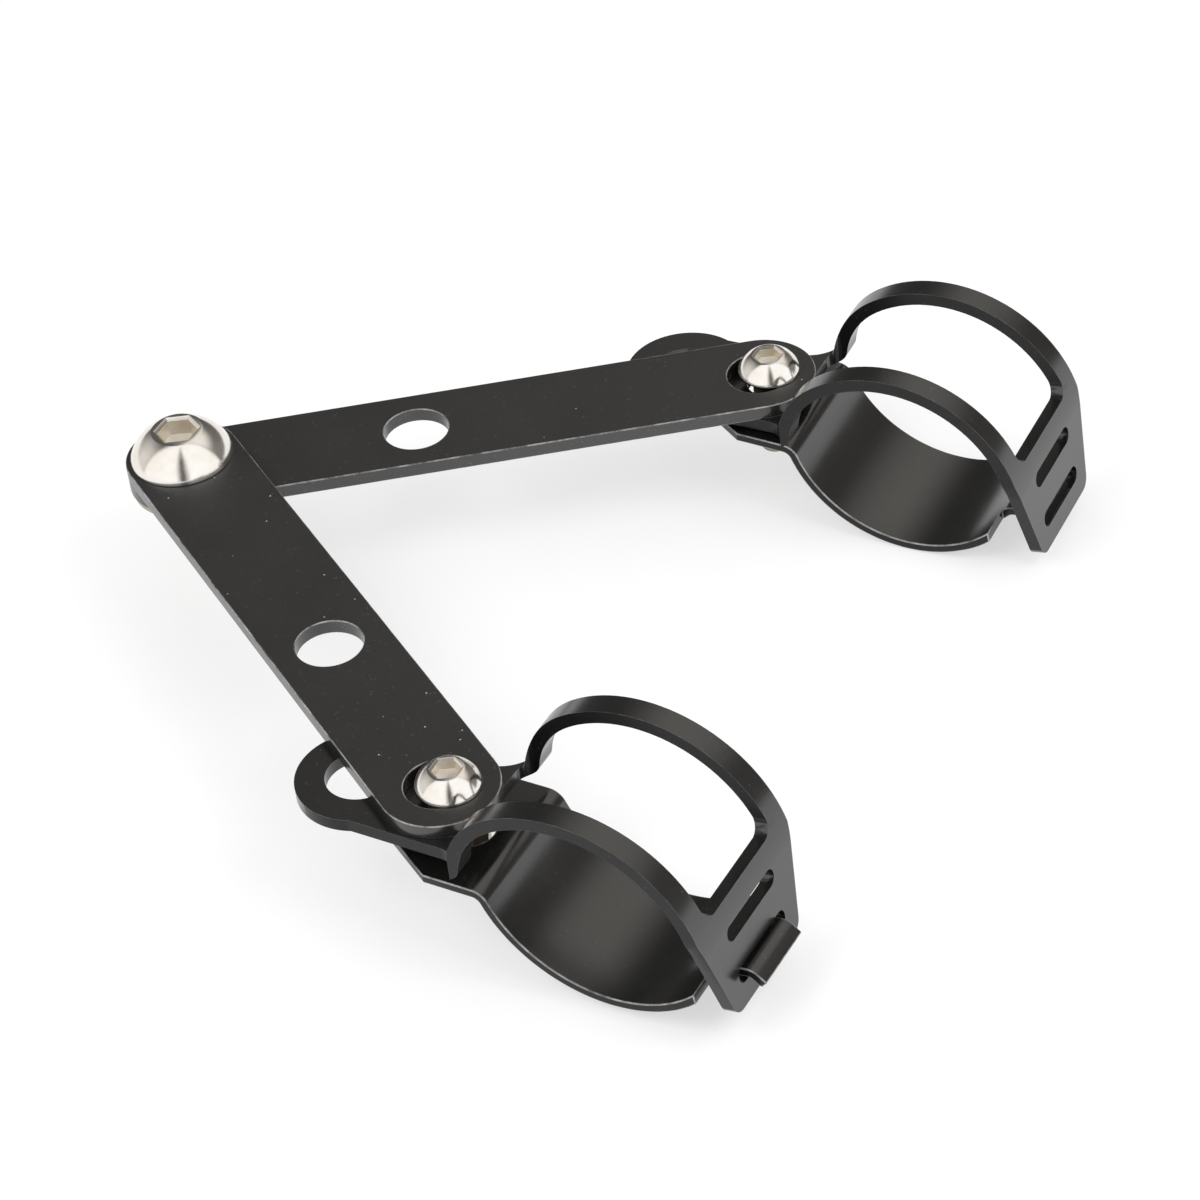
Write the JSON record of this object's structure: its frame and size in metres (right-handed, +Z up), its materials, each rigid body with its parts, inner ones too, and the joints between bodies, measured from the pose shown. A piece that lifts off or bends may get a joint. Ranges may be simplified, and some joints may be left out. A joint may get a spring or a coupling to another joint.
{
  "type": "headlight mounting bracket",
  "caption": "Folding V of two flat arms with a pivot bolt, each arm ending in a bent, windowed fork clamp with a lug eye and a slotted end plate.",
  "frame": {"origin": "pivot bolt axis, in the plane where the two arms touch", "axes": "+X from the pivot towards the clamps along the middle of the V, +Y along the fork tube, +Z up through the bolts towards their heads"},
  "size_m": [0.1471, 0.1461, 0.0387],
  "materials": {
    "black_coat": "satin",
    "stainless": "polished"
  },
  "bodies": {
    "front_clamp": {"front_upper_band": "black_coat", "front_lower_band": "black_coat", "front_clamp_bolt": "stainless", "front_clamp_nut": "stainless"},
    "front_arm": {"front_arm": "black_coat", "headlight_bolt": "stainless", "headlight_nut": "stainless"},
    "rear_arm": {"rear_arm": "black_coat"},
    "rear_clamp": {"rear_upper_band": "black_coat", "rear_lower_band": "black_coat", "rear_clamp_bolt": "stainless", "rear_clamp_nut": "stainless"}
  },
  "joints": [
    {"name": "front_clamp_swivel", "type": "hinge", "parent": "front_clamp", "child": "front_arm", "pos_m": [0.08196, -0.05601, 0], "axis": [0, 0, 1], "range_deg": [-12, 60]},
    {"name": "arm_pivot", "type": "hinge", "parent": "front_arm", "child": "rear_arm", "pos_m": [0, 0, 0], "axis": [0, 0, 1], "range_deg": [-15, 90]},
    {"name": "rear_clamp_swivel", "type": "hinge", "parent": "rear_arm", "child": "rear_clamp", "pos_m": [0.08175, 0.05791, -0.0025], "axis": [0, 0, 1], "range_deg": [-12, 60]}
  ]
}
